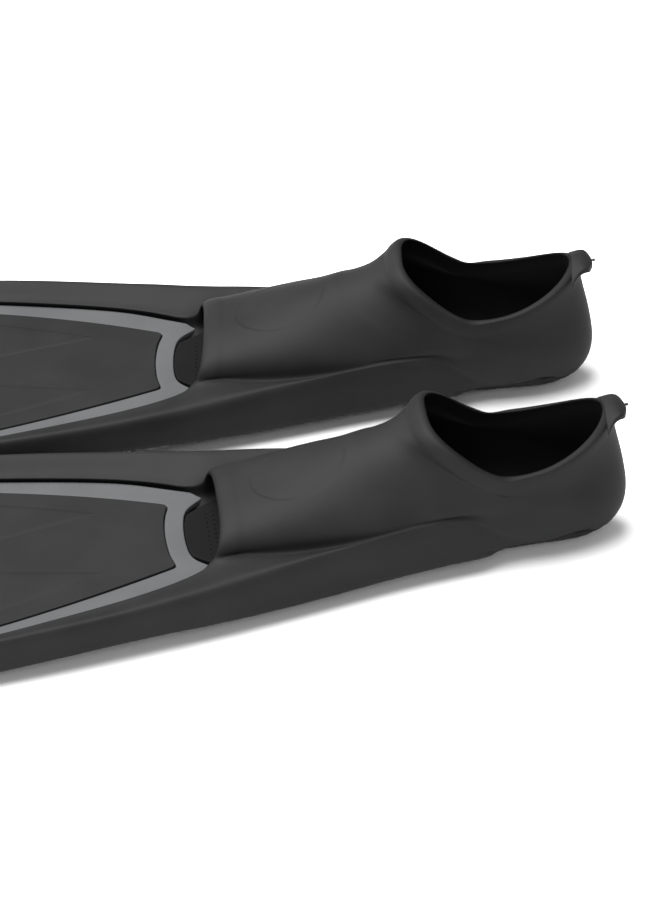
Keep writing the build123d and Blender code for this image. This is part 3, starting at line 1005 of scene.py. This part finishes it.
def paint_shade_inside(paint):
    """Mixes a painted shade, a deeper black, into the paint where the mesh is marked as inside the pocket.
    """
    nodes, links = paint.node_tree.nodes, paint.node_tree.links
    shader = nodes["Principled BSDF"]
    plain_colour = shader.inputs["Base Color"].links[0].from_socket
    inside_shade = nodes.new("ShaderNodeAttribute")
    inside_shade.attribute_name = "inside_shade"
    painted_shade = nodes.new("ShaderNodeMix")
    painted_shade.data_type = "RGBA"
    painted_shade.inputs["B"].default_value = INSIDE_PAINTED_SHADE
    links.new(inside_shade.outputs["Fac"], painted_shade.inputs["Factor"])
    links.new(plain_colour, painted_shade.inputs["A"])
    links.new(painted_shade.outputs["Result"], shader.inputs["Base Color"])


# Paints shade into the pocket's inner skin.
paint_shade_inside(black_rubber)
print("nodes in the black rubber:", len(black_rubber.node_tree.nodes))

# %% [markdown]
# ## A faint oval on the instep
# The instep has a very shallow oval panel, a few tenths of a millimetre deep. That is too fine for the
# mesh, so it is a bump. The fin's own millimetres are in the mesh as an attribute: a Mapping node centres
# them on the oval, and their length from there is 1 on its outline.

# %% Press the oval
OVAL_MIDDLE = (192.0, 0.0, 62.0)
OVAL_RADII = (31.0, 27.0, 34.0)
OVAL_RIM, OVAL_DEPTH = 0.92, 0.0004


def press_oval(paint):
    """Presses a shallow oval into the instep, on top of the paint's own grain."""
    nodes, links = paint.node_tree.nodes, paint.node_tree.links
    shader = nodes["Principled BSDF"]
    plain_normal = shader.inputs["Normal"].links[0].from_socket
    place = nodes.new("ShaderNodeAttribute")
    place.attribute_name = "fin_place"
    centred = nodes.new("ShaderNodeMapping")
    centred.vector_type = "TEXTURE"
    centred.inputs["Location"].default_value = OVAL_MIDDLE
    centred.inputs["Scale"].default_value = OVAL_RADII
    away = nodes.new("ShaderNodeVectorMath")
    away.operation = "LENGTH"
    level = new_range(nodes, "From", OVAL_RIM, 1.0)
    level.interpolation_type = "SMOOTHSTEP"
    pressed = nodes.new("ShaderNodeBump")
    pressed.inputs["Distance"].default_value = OVAL_DEPTH
    links.new(place.outputs["Vector"], centred.inputs["Vector"])
    links.new(centred.outputs["Vector"], away.inputs[0])
    links.new(away.outputs["Value"], level.inputs["Value"])
    links.new(level.outputs["Result"], pressed.inputs["Height"])
    links.new(plain_normal, pressed.inputs["Normal"])
    links.new(pressed.outputs["Normal"], shader.inputs["Normal"])


press_oval(black_rubber)
print("the oval is", 2 * OVAL_RADII[0], "mm by", 2 * OVAL_RADII[1], "mm")

# %% [markdown]
# ## What wears what
# Each pair of pieces takes one finish. The tab has its own material beside the moulding's, because only
# the moulding has the painted shade inside and an oval.

# %% What wears what
WEARS = ((mouldings, black_rubber), (panels, blade_plastic), (inserts, grey_rubber),
         (footbeds, footbed_rubber), (nubs_of, footbed_rubber), (tabs, tab_rubber),
         (pins, pin_plastic), (soles, sole_rubber), (stems, blade_plastic))
for pair, finish in WEARS:
    for piece in pair.values():
        piece.data.materials.append(finish)
        print(piece.name, "wears", finish.name)

# %% [markdown]
# ## The camera
# A long lens from well above the floor keeps the two fins nearly parallel, with the near one below the
# far one and the blades running out of view. The camera is built from three directions, back, right and
# up, which are rolled a little. Angles would do as well, but directions are easier to check.

# %% Camera
AIM = Vector((0.143, 0.0, 0.0127))
CAMERA_DISTANCE = 2.411
CAMERA_TURN, CAMERA_RISE, CAMERA_ROLL = map(math.radians, (-2.08, 34.32, 3.06))
LENS_MM, SENSOR_MM = 157.7, 36
SEES_AS_FAR_AS = 20


def aim_camera():
    level = math.cos(CAMERA_RISE)
    back = Vector((math.sin(CAMERA_TURN) * level, -math.cos(CAMERA_TURN) * level, math.sin(CAMERA_RISE)))
    right = Vector((math.cos(CAMERA_TURN), math.sin(CAMERA_TURN), 0))
    up = back.cross(right)
    rolled_right = right * math.cos(CAMERA_ROLL) - up * math.sin(CAMERA_ROLL)
    rolled_up = right * math.sin(CAMERA_ROLL) + up * math.cos(CAMERA_ROLL)
    data = bpy.data.cameras.new("camera")
    data.lens, data.sensor_width, data.clip_end = LENS_MM, SENSOR_MM, SEES_AS_FAR_AS
    camera = bpy.data.objects.new("camera", data)
    turn = Matrix((rolled_right, rolled_up, back)).transposed().to_4x4()
    camera.matrix_world = Matrix.Translation(AIM + back * CAMERA_DISTANCE) @ turn
    bpy.context.scene.collection.objects.link(camera)
    bpy.context.scene.camera = camera
    print("camera at", [round(v, 3) for v in AIM + back * CAMERA_DISTANCE])


aim_camera()

# %% [markdown]
# ## A pale floor
# The fins lie on a plain pale floor that runs far past them, so that no edge shows.

# %% Floor
FLOOR_HALF = 20
FLOOR_TONE = (0.9, 0.9, 0.9, 1)


def pale_floor():
    bm = bmesh.new()
    bmesh.ops.create_grid(bm, x_segments=1, y_segments=1, size=FLOOR_HALF)
    mesh = bpy.data.meshes.new("floor")
    bm.to_mesh(mesh)
    floor = bpy.data.objects.new("floor", mesh)
    bpy.context.scene.collection.objects.link(floor)
    paint = bpy.data.materials.new("floor_paint")
    paint.use_nodes = True
    paint.node_tree.nodes["Principled BSDF"].inputs["Base Color"].default_value = FLOOR_TONE
    mesh.materials.append(paint)
    print("floor", 2 * FLOOR_HALF, "m wide")


pale_floor()

# %% [markdown]
# ## Soft studio light
# Black rubber shows its shape only by what it reflects, so the light is large and soft. A wide lamp above
# and in front of the toes models the insteps, a weaker one lifts the near walls, and a white world fills
# the shadows.

# %% Light
WORLD_STRENGTH = 0.3


def soft_light(name, place, target, size, power):
    """A rectangular lamp at place that faces target."""
    data = bpy.data.lights.new(name, "AREA")
    data.shape = "RECTANGLE"
    data.size, data.size_y = size
    data.energy = power
    lamp = bpy.data.objects.new(name, data)
    lamp.location = place
    lamp.rotation_euler = (Vector(target) - Vector(place)).to_track_quat("-Z", "Y").to_euler()
    bpy.context.scene.collection.objects.link(lamp)
    print(name, power, "W")


soft_light("top_light", (-0.75, 0.2, 2.2), (0.05, 0, 0), (3.0, 2.6), 220)
soft_light("front_light", (0.3, -2.2, 1.4), (0.1, 0, 0), (2.6, 1.2), 26)
world = bpy.data.worlds.new("studio")
world.use_nodes = True
world.node_tree.nodes["Background"].inputs["Color"].default_value = (1, 1, 1, 1)
world.node_tree.nodes["Background"].inputs["Strength"].default_value = WORLD_STRENGTH
bpy.context.scene.world = world
bpy.context.scene.view_settings.view_transform = "Standard"
